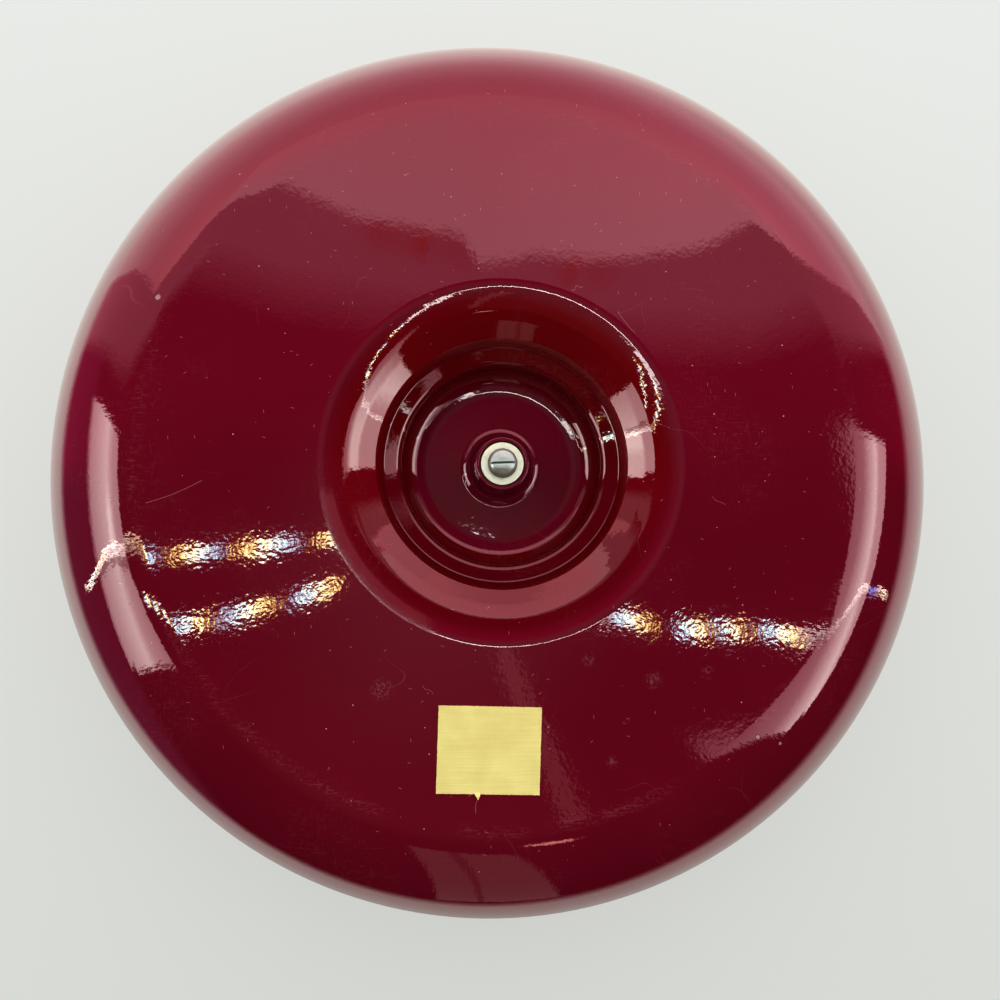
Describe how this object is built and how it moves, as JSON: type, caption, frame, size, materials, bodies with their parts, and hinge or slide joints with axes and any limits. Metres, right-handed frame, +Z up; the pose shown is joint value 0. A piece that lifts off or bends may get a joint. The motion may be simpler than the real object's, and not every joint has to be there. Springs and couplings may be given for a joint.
{
  "type": "lacquer nut bowl",
  "caption": "Round low lacquered nut bowl with a flat underside, a stepped recess below, and a turned centre post that holds a nutcracker and nut picks, fixed by a screw from below.",
  "frame": {"origin": "centre of the ring that the bowl stands on, at the level of that ring", "axes": "+Z up along the bowl's axis, from the standing ring to the rim; the label is on the +Y side of the underside"},
  "size_m": [0.263, 0.263, 0.076],
  "materials": {
    "lacquer": "deep burgundy gloss lacquer over a moulded core, with fine orange peel and hair scratches",
    "lacquer_post": "the same burgundy gloss lacquer, turned post",
    "brass_insert": "plain machined brass",
    "screw_steel": "nickel plated steel, lightly worn",
    "washer_plate": "pale zinc plate with a faint green-yellow tint",
    "label_foil": "pale gold foil paper, lightly scuffed, blank"
  },
  "bodies": {
    "root": {"bowl": "lacquer", "tool_post": "lacquer_post", "post_insert": "brass_insert", "clamp_screw": "screw_steel", "screw_washer": "washer_plate", "foil_label": "label_foil"}
  },
  "joints": []
}
